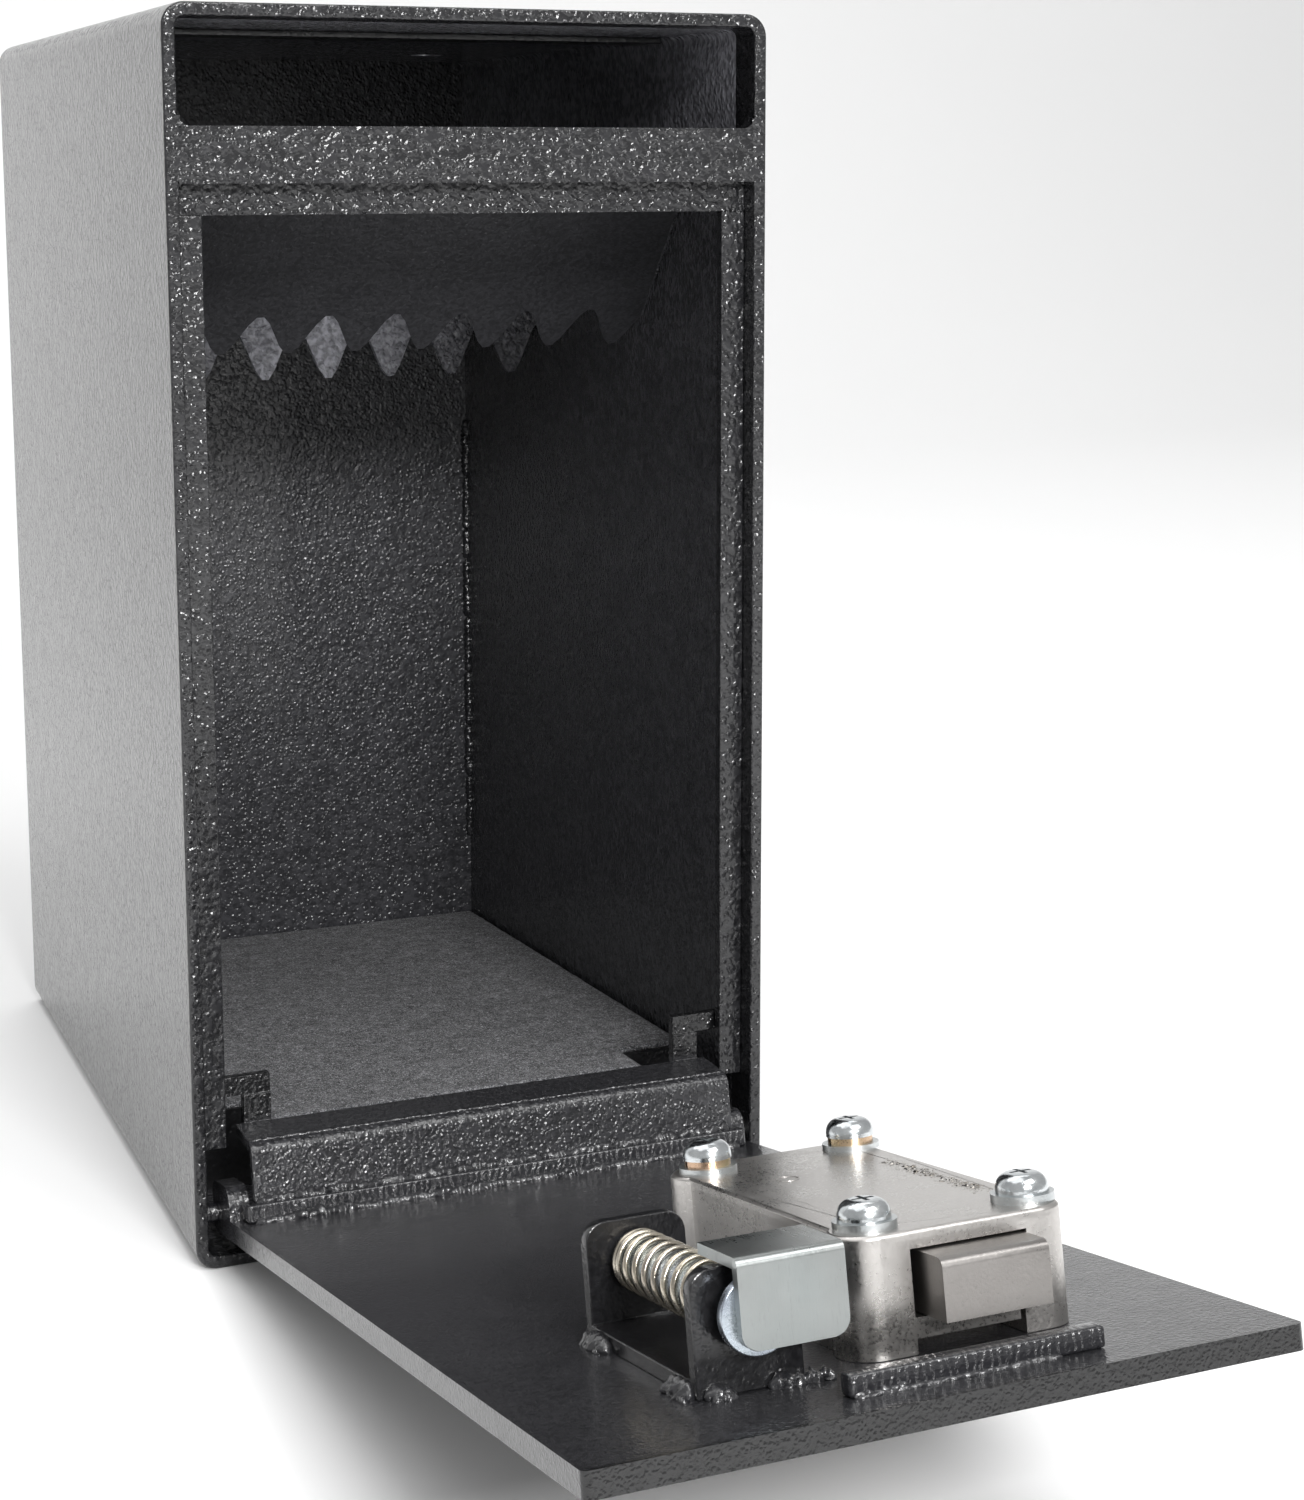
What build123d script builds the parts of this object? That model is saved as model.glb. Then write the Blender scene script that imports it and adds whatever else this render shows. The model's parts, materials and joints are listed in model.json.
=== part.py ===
from build123d import *
import math
import os

# Under-counter depository safe, shown with its door dropped open.
# Frame: origin at the centre of the underside of the box, +X to the right as you
# face the door, +Y from the front towards the back, +Z up, millimetres.

# ---- box -------------------------------------------------------------------
width = 152.4              # 6 in outside
depth = 228.6              # 9 in outside
height = 304.8             # 12 in outside
skin = 3.2                 # body sheet, 1/8 in class
bend_outer = 5.5           # outside radius of the four long folds
front = -depth / 2
back = depth / 2
inner_half = width / 2 - skin
roof_under = height - skin

# counter fixing holes through the roof
roof_hole_r = 4.75
roof_hole_dx = 90.0
roof_hole_dy = 90.0
roof_hole_y = 18.0         # centre of the pattern behind the middle of the box

# ---- front frame -----------------------------------------------------------
header_low = 263.6
header_top = 276.8
header_deep = 5.7          # door stops stand this far behind the front edges
header_corner = 3.0        # filled corners where the header meets the side walls
stop_low = 256.2           # lower edge of the stop behind the header
stop_top = 274.6
header_stop_t = 5.0
header_half = inner_half
jamb_inner = 66.6          # half width between the side stops
jamb_t = 3.0
jamb_low = 28.4            # side stops end above the hinge lugs
slot_lip_tall = 1.8

# ---- drop chute ------------------------------------------------------------
sheet = 2.0
shelf_end = 32.0           # depth of the flat shelf behind the slot
front_tip = (80.2, 218.9)  # depth and height of the front baffle teeth tips
rear_top = (226.4, 280.0)  # where the rear baffle meets the back panel
rear_fold = (146.0, 226.0) # where the rear baffle turns straight down
rear_tip = (146.0, 205.7)  # depth and height of the rear baffle teeth tips
front_teeth = {"pitch": 18.6, "shift": 0.9, "deep": 13.8}     # a notch stands at shift
rear_teeth = {"pitch": 19.1, "shift": 2.8, "deep": 15.5}      # a tooth stands at shift

# ---- floor -----------------------------------------------------------------
tray_front = 42.0          # front leg of the tray
tray_reach = 26.0          # the tray's top runs on this far forward between the stop tabs
tray_reach_half = 53.3
tray_rear = 225.0
tray_front_z = 24.4        # top of the tray over its front leg
tray_rear_z = 13.4
tray_t = 1.5
mat_t = 1.6

# ---- door and hinge --------------------------------------------------------
pin_depth = 6.0            # hinge pin behind the front edges
pin_z = 12.3
pin_r = 2.5
pin_fit = 0.05             # running clearance on the radius
pin_lift = 0.7             # pin centre above the inner face of the door
open_angle = 78.0          # door dropped open, its far edge 12 degrees up
door_t = 4.76              # 3/16 in plate
door_half = 69.0
door_far = 250.7           # far edge measured from the pin
door_near = -6.0
lug_in = 64.0              # lugs reach from here out to the door edge
lug_near = -6.0
lug_far = 12.0
lug_tall = 8.0
bar_near = 12.2
bar_far = 19.3
bar_half = 66.0
bar_t = 4.5
strip_half = 63.6
strip_t = 2.5
strip_face = 16.5
strip_top = 18.4
lip = 15.2
tab_in = 54.5
tab_out = 61.5
ear_out = 67.7

# ---- lock on the inner face, distances from the pin along the door ----------
case_far = 225.3
case_near = 140.3
case_left = -5.6
case_right = 37.2
case_tall = 22.0
screw_x = (0.5, 33.3)
screw_s = (147.3, 217.2)
corner_x = (-0.4, 32.5)    # centres of the rounded corners of the case
corner_r = (7.0, 6.2)
bolt_x = (6.7, 28.4)
bolt_h = (7.0, 18.2)
bolt_s = (172.0, 233.7)
bolt_gap = 0.4
window_left = 5.1          # the window is wider than the bolt on this side
foot_x = 27.3              # the case stands on feet left and right of a notch
foot_tall = 2.8
plug_x = 18.0
plug_s = 190.0
plug_r = 5.5
nose_r = 8.0
nose_proud = 1.6
lock_bar_x = (-17.2, 33.2)
lock_bar_s = (238.3, 242.3)
lock_bar_t = 4.0
washer_r = 5.95
washer_t = {147.3: 1.1, 217.2: 1.5}    # by row of screws
split_r = 4.7
split_t = {147.3: 1.4, 217.2: 0.0}     # only the rear pair has split washers
head_r = 4.95
head_t = 3.7
cross = (4.4, 0.9, 1.5)    # length, width and depth of the driving recess
shank_r = 2.4

# ---- sprung plunger beside the lock ----------------------------------------
ear_x = (-38.5, -18.0)
ear_t = 3.0
ear_tall = 21.9
rear_ear = 174.5
front_ear = 223.6
rod_x = -28.3
rod_h = 14.0
rod_r = 4.0
rod_fit = 0.05
plate_x = (-32.5, -12.0)
plate_h = (8.5, 24.5)
plate_s = (217.5, 234.0)
plate_t = 2.0
collar_r = 7.0
collar_t = 2.0
shoulder_r = 5.9
shoulder_t = 1.5
wire_r = 0.8
coil_r = 5.3
coils = 9.0


def block(x, y, z):
    """Box from three (low, high) ranges."""
    size = [b - a for a, b in (x, y, z)]
    mid = [(a + b) / 2 for a, b in (x, y, z)]
    return Pos(*mid) * Box(*size)


def side_profile(points, x):
    """Polygon of (y, z) points carried across the range x."""
    wire = Polyline(*[(0, y, z) for y, z in points], close=True)
    return extrude(make_face(wire), amount=x[1] - x[0], dir=(1, 0, 0)).moved(Location((x[0], 0, 0)))


def at_depth(points):
    """Turn (depth behind the front, height) into (y, z)."""
    return [(front + d, z) for d, z in points]


def hung(shape):
    """Take a piece drawn on the closed door (pin at the origin) to the open door."""
    return Pos(0, front + pin_depth, pin_z) * Rot(open_angle, 0, 0) * shape


def on_door(x, h, s):
    """Box on the closed door: across x, height h off the inner face, distance s from the pin."""
    return block(x, (h[0] - pin_lift, h[1] - pin_lift), s)


def door_rod(x, s, h, r):
    """Cylinder standing off the door face between heights h."""
    rod = Rot(-90, 0, 0) * Cylinder(r, h[1] - h[0])
    return Pos(x, (h[0] + h[1]) / 2 - pin_lift, s) * rod


def along_rod(s, r):
    """Cylinder on the plunger line between distances s from the pin."""
    return Pos(rod_x, rod_h - pin_lift, (s[0] + s[1]) / 2) * Cylinder(r, s[1] - s[0])


def only_solid(shape):
    """The largest solid of a cut or joined shape."""
    return max(shape.solids(), key=lambda solid: solid.volume)


def save(shape, name):
    export_step(shape, "parts/" + name + ".step")


def make_wrap():
    outer = RectangleRounded(width, height, bend_outer)
    inner = RectangleRounded(width - 2 * skin, height - 2 * skin, bend_outer - skin)
    tube = extrude(outer - inner, amount=depth)
    tube = Pos(0, back, height / 2) * Rot(90, 0, 0) * tube
    for sx in (-1, 1):
        for sy in (-1, 1):
            hole = Cylinder(roof_hole_r, 4 * skin)
            tube -= Pos(sx * roof_hole_dx / 2, roof_hole_y + sy * roof_hole_dy / 2, height) * hole
    return only_solid(tube)


def make_rear_panel():
    r = bend_outer - skin
    panel = RectangleRounded(width - 2 * skin, height - 2 * skin, r)
    return Pos(0, back, height / 2) * Rot(90, 0, 0) * extrude(panel, amount=skin)


def make_header_bar():
    """Bar under the slot, with its top corners filled into the side walls."""
    deep = (front, front + header_deep)
    bar = block((-header_half, header_half), deep, (header_low, header_top))
    for side in (-1, 1):
        x = sorted((side * header_half, side * (header_half - header_corner)))
        z = (header_top - 0.5, header_top + header_corner)
        hollow = Rot(90, 0, 0) * Cylinder(header_corner, 4 * header_deep)
        centre = (side * (header_half - header_corner), front, header_top + header_corner)
        bar += block(x, deep, z) - Pos(*centre) * hollow
    return only_solid(bar)


def tooth_wave(teeth, low, high, steps=10):
    """Points of a rounded wave edge running from low to high, deepest at the shift."""
    points = []
    count = int((high - low) / teeth["pitch"] * steps)
    for i in range(count + 1):
        x = low + (high - low) * i / count
        phase = (x - teeth["shift"]) / teeth["pitch"]
        wave = 0.5 + 0.5 * math.cos(2 * math.pi * phase)
        points.append((x, teeth["deep"] * wave))
    return points


def toothed_sheet(top, tip, teeth, notch_at_shift):
    """Flat sheet from top to tip (depth, height) with a waved lower edge."""
    half = inner_half - 0.2
    run = (tip[0] - top[0], tip[1] - top[1])
    length = math.hypot(*run)
    unit = (run[0] / length, run[1] / length)
    edge = tooth_wave(teeth, -half, half)
    if not notch_at_shift:
        edge = [(x, teeth["deep"] - d) for x, d in edge]
    outline = [(-half, 0), (half, 0)] + [(x, length - d) for x, d in reversed(edge)]
    plane = Plane(origin=(0, front + top[0], top[1]), x_dir=(1, 0, 0),
                  z_dir=(0, unit[1], -unit[0]))
    if plane.y_dir.Y * unit[0] + plane.y_dir.Z * unit[1] < 0:
        outline = [(x, -v) for x, v in outline]
    face = make_face(Polyline(*outline, close=True))
    return extrude(plane * face, amount=sheet / 2, both=True)


def sheet_fold(at):
    """Round that joins two flats of a baffle at a (depth, height) point."""
    half = inner_half - 0.2
    return Pos(0, front + at[0], at[1]) * Rot(0, 90, 0) * Cylinder(sheet / 2, 2 * half)


def make_front_baffle():
    top = (shelf_end, header_top - sheet / 2)
    slope = toothed_sheet(top, front_tip, front_teeth, True)
    half = inner_half - 0.2
    shelf = block((-half, half), (front + header_deep, front + shelf_end),
                  (header_top - sheet, header_top))
    return only_solid(slope + shelf + sheet_fold(top))


def make_rear_baffle():
    """Sheet sloping forward from the back panel, then turned down into a toothed flange."""
    half = inner_half - 0.2
    run = (rear_top[0] - rear_fold[0], rear_top[1] - rear_fold[1])
    length = math.hypot(*run)
    off = (-run[1] / length * sheet / 2, run[0] / length * sheet / 2)
    points = [(p[0] + side * off[0], p[1] + side * off[1])
              for p, side in ((rear_fold, -1), (rear_top, -1), (rear_top, 1), (rear_fold, 1))]
    slope = side_profile(at_depth(points), (-half, half))
    flange = toothed_sheet(rear_fold, rear_tip, rear_teeth, False)
    beyond = block((-width, width), (back - skin, back + 10), (0, height))
    return only_solid(slope + flange + sheet_fold(rear_fold) - beyond)


def make_tray():
    slope = (tray_rear_z - tray_front_z) / (tray_rear - tray_front)
    half = inner_half - 0.5
    a, b = tray_front, tray_rear
    points = [(a, skin), (a, tray_front_z), (b, tray_rear_z), (b, skin), (b - tray_t, skin),
              (b - tray_t, tray_rear_z - tray_t - slope * tray_t),
              (a + tray_t, tray_front_z - tray_t + slope * tray_t), (a + tray_t, skin)]
    tray = side_profile(at_depth(points), (-half, half))
    feet = [e for e in tray.edges().filter_by(Axis.Y)
            if e.center().Z < skin + 0.1 and e.length < 2 * tray_t]
    tray = chamfer(feet, 3.0)
    reach = a - tray_reach
    shelf = [(a, tray_front_z), (tray_reach, tray_front_z - slope * reach),
             (tray_reach, tray_front_z - slope * reach - tray_t), (a, tray_front_z - tray_t)]
    tray += side_profile(at_depth(shelf), (-tray_reach_half, tray_reach_half))
    return only_solid(tray)


def make_mat():
    slope = (tray_rear_z - tray_front_z) / (tray_rear - tray_front)
    mat = None
    for a, half in ((tray_front + 0.6, inner_half - 0.9), (tray_reach - 0.4, tray_reach_half - 0.2)):
        b = tray_rear - 1.4
        za = tray_front_z + slope * (a - tray_front)
        zb = tray_front_z + slope * (b - tray_front)
        points = [(a, za), (b, zb), (b, zb + mat_t), (a, za + mat_t)]
        piece = side_profile(at_depth(points), (-half, half))
        mat = piece if mat is None else mat + piece
    return only_solid(mat)


def make_corner_welds():
    """Seam beads up the two rear inside corners."""
    size = 2.2
    beads = []
    rear = back - skin
    for side in (-1, 1):
        x = side * (inner_half)
        wire = Polyline((x, rear, 0), (x - side * size, rear, 0), (x, rear - size, 0), close=True)
        bead = extrude(make_face(wire), amount=150.0, dir=(0, 0, 1))
        beads.append(bead.moved(Location((0, 0, 40.0))))
    return beads


def hinge_pin(side):
    pin = Rot(0, 90, 0) * Cylinder(pin_r, inner_half - lug_in)
    x = side * (inner_half + lug_in) / 2
    return Pos(x, front + pin_depth, pin_z) * pin


def make_lug(side):
    """Upright plate at one end of the hinge, bored for the pin."""
    low, high = -door_t - pin_lift, lug_tall - pin_lift
    body = block((0, door_half - lug_in), (low, high), (lug_near, lug_far))
    corners = body.edges().filter_by(Axis.X)
    upper = [e for e in corners if e.center().Y > 0]
    body = fillet(upper, 4.5)
    rear = [e for e in body.edges().filter_by(Axis.X) if e.center().Y < 0 and e.center().Z < 0]
    body = fillet(rear, 2.5)
    body -= Rot(0, 90, 0) * Cylinder(pin_r + pin_fit, 40)
    x = lug_in if side > 0 else -door_half
    return Pos(x, 0, 0) * only_solid(body)


def make_door_plate():
    plate = on_door((-door_half, door_half), (-door_t, 0), (door_near, door_far))
    for side in (-1, 1):
        x = sorted((side * lug_in, side * (door_half + 1)))
        plate -= on_door(x, (-door_t - 1, 1), (lug_near - 1, lug_far))
    outer = [e for e in plate.edges().filter_by(Axis.Y) if e.center().Z > door_far - 1]
    plate = fillet(outer, 1.6)
    plate -= door_rod(plug_x, plug_s, (-door_t - 1, 1), nose_r + 0.1)
    for x in screw_x:
        for s in screw_s:
            plate -= door_rod(x, s, (-3.2, 1), shank_r + 0.05)
    return only_solid(plate)


def make_hook_strip():
    """Folded strip along the hinge with two stop tabs that rise from its lip."""
    tilt = math.radians(90 - open_angle)
    c, n = math.cos(tilt), math.sin(tilt)
    p2 = (strip_face, strip_top)
    p3 = (p2[0] - lip * c, p2[1] + lip * n)
    p4 = (p3[0] - strip_t * n, p3[1] - strip_t * c)
    step = (strip_face - strip_t * n - (strip_face - strip_t)) / c
    p5 = (strip_face - strip_t, p2[1] - strip_t * c + step * n)
    points = [(strip_face, bar_t), p2, p3, p4, p5, (strip_face - strip_t, bar_t)]
    strip = side_profile([(h - pin_lift, s) for s, h in points], (-strip_half, strip_half))
    bends = [e for e in strip.edges().filter_by(Axis.X)
             if abs(e.center().Z - p2[0]) < 0.2 and e.center().Y > 10]
    strip = fillet(bends, 3.0)
    # stop tabs, drawn as they stand when the door is open, then folded with the door
    tab = [(8.5, 30.8), (8.5, 40.2), (9.1, 40.2), (9.1, 45.0), (11.4, 45.0), (11.4, 30.8)]
    ear = [(9.1, 40.2), (9.1, 45.0), (11.4, 45.0), (11.4, 40.2)]

    def folded(profile):
        turned = []
        for d, z in profile:
            dy, dz = d - pin_depth, z - pin_z
            turned.append((dy * n + dz * c, -dy * c + dz * n))
        return turned

    for side in (-1, 1):
        x_tab = sorted((side * tab_in, side * tab_out))
        x_ear = sorted((side * tab_in, side * ear_out))
        strip += side_profile(folded(tab), x_tab)
        strip += side_profile(folded(ear), x_ear)
    return only_solid(strip)


def make_strip_bead():
    """Long fillet weld at the foot of the strip."""
    size = 1.4
    y = bar_t - pin_lift
    points = [(y, strip_face), (y + size, strip_face), (y, strip_face + size)]
    return side_profile(points, (-strip_half + 1, strip_half - 1))


def make_bar_welds():
    """Stitch welds between the hinge bar and the door."""
    size = 1.8
    y = -pin_lift
    spans = [(-65.0, -41.0), (-40.5, -6.0), (-5.5, 25.0), (25.5, 64.0)]
    points = [(y, bar_far), (y + size, bar_far), (y, bar_far + size)]
    return [side_profile(points, span) for span in spans]


def make_case():
    body = on_door((case_left, case_right), (0, case_tall),
                   (case_near + corner_r[0], case_far - corner_r[0]))
    body += on_door(corner_x, (0, case_tall), (case_near, case_far))
    for x, r in zip(corner_x, corner_r):
        for s in (case_near + r, case_far - r):
            body += door_rod(x, s, (0, case_tall), r)
    body = only_solid(body)
    rim = body.faces().sort_by(Axis.Y)[-1].edges()
    body = chamfer(rim, 0.6)
    gap = bolt_gap
    body -= on_door((window_left, bolt_x[1] + gap), (bolt_h[0] - gap, bolt_h[1] + gap),
                    (bolt_s[0] - gap, case_far + 5))
    body -= on_door((window_left, foot_x), (-1, foot_tall), (214.0, case_far + 5))
    body -= on_door((foot_x - 0.9, foot_x), (-1, bolt_h[0]), (214.0, case_far + 5))
    body -= door_rod(plug_x, plug_s, (-1, bolt_h[0]), plug_r + 0.4)
    for x in screw_x:
        for s in screw_s:
            body -= door_rod(x, s, (-1, case_tall + 1), shank_r + 0.15)
    return only_solid(body)


def make_bolt():
    bolt = on_door(bolt_x, bolt_h, bolt_s)
    tip = bolt.faces().sort_by(Axis.Z)[-1]
    upper = [e for e in tip.edges() if e.center().Y > bolt_h[1] - pin_lift - 0.01]
    return fillet(upper, 1.8)


def make_nose():
    ring = door_rod(plug_x, plug_s, (-door_t - nose_proud, -0.02), nose_r)
    flange = door_rod(plug_x, plug_s, (-door_t - nose_proud, -door_t), nose_r + 3.0)
    ring = ring + flange - door_rod(plug_x, plug_s, (-20, 1), plug_r + pin_fit)
    return only_solid(ring)


def make_plug():
    plug = door_rod(plug_x, plug_s, (-door_t - nose_proud, bolt_h[0] - 0.8), plug_r)
    slot = on_door((plug_x - 0.8, plug_x + 0.8), (-door_t - nose_proud - 1, -2.4),
                   (plug_s - 3.6, plug_s + 3.6))
    return only_solid(plug - slot)


def make_screws():
    screws = []
    long, wide, deep = cross
    for x in screw_x:
        for s in screw_s:
            base = case_tall + washer_t[s] + split_t[s]
            top = Pos(x, base + head_t - pin_lift, s) * Rot(-90, 0, 0)
            head = door_rod(x, s, (base, base + head_t), head_r)
            head = fillet(head.edges().filter_by(GeomType.CIRCLE).sort_by(Axis.Y)[-1], 2.9)
            head -= top * Box(long, wide, 2 * deep)
            head -= top * Box(wide, long, 2 * deep)
            screws.append(only_solid(head + door_rod(x, s, (-3.0, base), shank_r)))
    return screws


def make_split_washers():
    rings = []
    s = screw_s[0]
    low = case_tall + washer_t[s]
    for x in screw_x:
        ring = door_rod(x, s, (low, low + split_t[s]), split_r)
        ring -= door_rod(x, s, (low - 1, low + 3), shank_r + 0.3)
        ring -= on_door((x - 8, x - 1), (low - 1, low + 3), (s - 0.4, s + 0.4))
        rings.append(only_solid(ring))
    return rings


def make_flat_washers():
    rings = []
    for x in screw_x:
        for s in screw_s:
            ring = door_rod(x, s, (case_tall, case_tall + washer_t[s]), washer_r)
            rings.append(only_solid(ring - door_rod(x, s, (case_tall - 1, case_tall + 3),
                                                    shank_r + 0.3)))
    return rings


def make_bracket():
    """U bracket: a web on the door and two ears bored for the rod."""
    body = on_door(ear_x, (0, ear_t), (rear_ear, front_ear + ear_t))
    for s in (rear_ear, front_ear):
        ear = on_door(ear_x, (0, ear_tall), (s, s + ear_t))
        top = [e for e in ear.edges().filter_by(Axis.Z) if e.center().Y > 10]
        body += fillet(top, 4.0)
    body -= along_rod((rear_ear - 5, front_ear + 10), rod_r + rod_fit)
    return only_solid(body)


def make_bracket_welds():
    """Short fillet welds at the foot of the bracket and of the lock bar."""
    y = -pin_lift
    size = 3.0
    beads = []
    x = ear_x[0]
    for s in (rear_ear + 1.0, front_ear - 8.0):
        wire = Polyline((x, y, s), (x - size, y, s), (x, y + size, s), close=True)
        beads.append(extrude(make_face(wire), amount=7.0, dir=(0, 0, 1)))
    far = front_ear + ear_t
    for span in ((-38.0, -32.5), (-24.0, -18.5)):
        points = [(y, far), (y + size, far), (y, far + size)]
        beads.append(side_profile(points, span))
    return beads


def make_lock_bar():
    return on_door(lock_bar_x, (0, lock_bar_t), lock_bar_s)


def make_lock_bar_weld():
    y = -pin_lift
    far = lock_bar_s[1]
    size = 1.2
    points = [(y, far), (y + size, far), (y, far + size)]
    return side_profile(points, (lock_bar_x[0] + 2.0, lock_bar_x[1] - 2.0))


def make_rod():
    face = plate_s[1] - plate_t
    rod = along_rod((rear_ear - 4.0, face), rod_r)
    rear_end = front_ear - 0.4 - shoulder_t
    rod += along_rod((rear_end, front_ear - 0.4), shoulder_r)
    return only_solid(rod)


def make_collar():
    face = plate_s[1] - plate_t
    collar = along_rod((face - collar_t, face), collar_r)
    return only_solid(collar - along_rod((face - 10, face + 10), rod_r))


def make_plunger_plate():
    body = on_door(plate_x, plate_h, (plate_s[1] - plate_t, plate_s[1]))
    low = [e for e in body.edges().filter_by(Axis.Z) if e.center().Y < plate_h[0] + 0.1]
    body = fillet(low, 3.2)
    body += on_door(plate_x, (plate_h[1] - plate_t, plate_h[1]), plate_s)
    body = only_solid(body)
    fold = [e for e in body.edges().filter_by(Axis.X)
            if e.center().Y > plate_h[1] - pin_lift - 0.1 and e.center().Z > plate_s[1] - 0.1]
    return fillet(fold, 1.6)


def make_spring():
    low = rear_ear + ear_t + wire_r + 0.1
    high = front_ear - 0.4 - shoulder_t - wire_r - 0.1
    pitch = (high - low) / coils
    path = Helix(pitch=pitch, height=high - low, radius=coil_r)
    start = path @ 0
    section = Plane(origin=start, z_dir=path % 0) * Circle(wire_r)
    coil = sweep(section, path=path, is_frenet=True)
    return Pos(rod_x, rod_h - pin_lift, low) * coil


os.makedirs("parts", exist_ok=True)

save(make_wrap(), "body_wrap")
save(make_rear_panel(), "rear_panel")
save(make_header_bar(), "header_bar")
save(block((-header_half, header_half),
           (front + header_deep, front + header_deep + header_stop_t),
           (stop_low, stop_top)), "header_stop")
for label, side in (("left", -1), ("right", 1)):
    stop = block(sorted((side * jamb_inner, side * inner_half)),
                 (front + header_deep, front + header_deep + jamb_t), (jamb_low, stop_low))
    save(stop, label + "_jamb_stop")
    save(hinge_pin(side), label + "_hinge_pin")
    save(hung(make_lug(side)), label + "_hinge_lug")
save(make_front_baffle(), "front_baffle")
save(make_rear_baffle(), "rear_baffle")
save(block((-inner_half + 3, inner_half - 3), (front + 52.0, front + 64.0),
           (roof_under - slot_lip_tall, roof_under)), "slot_lip")
save(make_tray(), "floor_tray")
save(make_mat(), "floor_mat")
save(Compound(children=make_corner_welds()), "corner_welds")

save(hung(make_door_plate()), "door_plate")
save(hung(on_door((-bar_half, bar_half), (0, bar_t), (bar_near, bar_far))), "hinge_bar")
save(hung(make_hook_strip()), "hook_strip")
save(hung(make_strip_bead()), "strip_bead")
save(Compound(children=[hung(b) for b in make_bar_welds()]), "bar_welds")
save(hung(make_case()), "lock_case")
save(hung(make_bolt()), "dead_bolt")
save(hung(make_nose()), "key_nose")
save(hung(make_plug()), "key_plug")
save(Compound(children=[hung(s) for s in make_screws()]), "lock_screws")
save(Compound(children=[hung(s) for s in make_split_washers()]), "split_washers")
save(Compound(children=[hung(s) for s in make_flat_washers()]), "flat_washers")
save(hung(make_lock_bar()), "lock_bar")
save(hung(make_lock_bar_weld()), "lock_bar_weld")
save(hung(make_bracket()), "plunger_bracket")
save(Compound(children=[hung(b) for b in make_bracket_welds()]), "bracket_welds")
save(hung(make_rod()), "plunger_rod")
save(hung(make_collar()), "plunger_collar")
save(hung(make_plunger_plate()), "plunger_plate")
save(hung(make_spring()), "plunger_spring")
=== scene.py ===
import bpy
import json
import math
import random
from mathutils import Matrix, Vector, noise


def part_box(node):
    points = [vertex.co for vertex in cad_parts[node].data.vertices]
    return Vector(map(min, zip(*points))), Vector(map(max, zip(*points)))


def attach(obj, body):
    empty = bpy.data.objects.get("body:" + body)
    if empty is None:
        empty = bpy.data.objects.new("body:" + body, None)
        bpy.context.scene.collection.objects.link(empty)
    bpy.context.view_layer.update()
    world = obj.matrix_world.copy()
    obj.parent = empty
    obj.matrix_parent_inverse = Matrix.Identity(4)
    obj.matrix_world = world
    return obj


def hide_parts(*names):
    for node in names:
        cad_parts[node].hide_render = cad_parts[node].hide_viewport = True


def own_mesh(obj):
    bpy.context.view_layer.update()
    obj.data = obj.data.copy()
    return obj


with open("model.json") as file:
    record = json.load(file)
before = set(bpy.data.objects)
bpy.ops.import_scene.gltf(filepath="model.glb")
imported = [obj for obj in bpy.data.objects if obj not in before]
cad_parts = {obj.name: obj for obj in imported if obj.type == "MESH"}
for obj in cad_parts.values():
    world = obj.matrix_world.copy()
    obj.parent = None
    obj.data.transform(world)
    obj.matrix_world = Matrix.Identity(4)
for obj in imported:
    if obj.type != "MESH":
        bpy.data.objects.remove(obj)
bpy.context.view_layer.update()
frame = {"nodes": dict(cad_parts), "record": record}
record = frame["record"]
nodes = frame["nodes"]
joints = {j["name"]: j for j in record["behaviour"]["joints"]}

MM = 0.001

# planes that the looks of the box change at, in row metres
side_face_x = 0.0757    # half a millimetre within the outer faces of the sides
wall_mid_x = 0.0747     # within the thickness of the side walls
stops_rear_y = -0.1030  # behind the door stops
roof_mid_z = 0.3030     # within the thickness of the roof
slot_low_z = 0.2768     # the slot is above this
flange_top_z = 0.2265   # the toothed flange of the rear baffle is below this

# ---------------------------------------------------------------- door frame
# A point on the door is (x, h, s): across, off the inner face, out from the hinge pin.
pin = Vector(joints["door_hinge"]["pos_m"])
door_out = Vector(joints["bolt_slide"]["axis"]).normalized()
door_up = Vector(joints["key_turn"]["axis"]).normalized()
pin_lift = 0.7 * MM
door_matrix = Matrix((
    (1.0, door_up.x, door_out.x, pin.x),
    (0.0, door_up.y, door_out.y, pin.y),
    (0.0, door_up.z, door_out.z, pin.z),
    (0.0, 0.0, 0.0, 1.0)))


def on_door(x, h, s):
    """Door millimetres to row metres."""
    return door_matrix @ Vector((x * MM, h * MM - pin_lift, s * MM))


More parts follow.
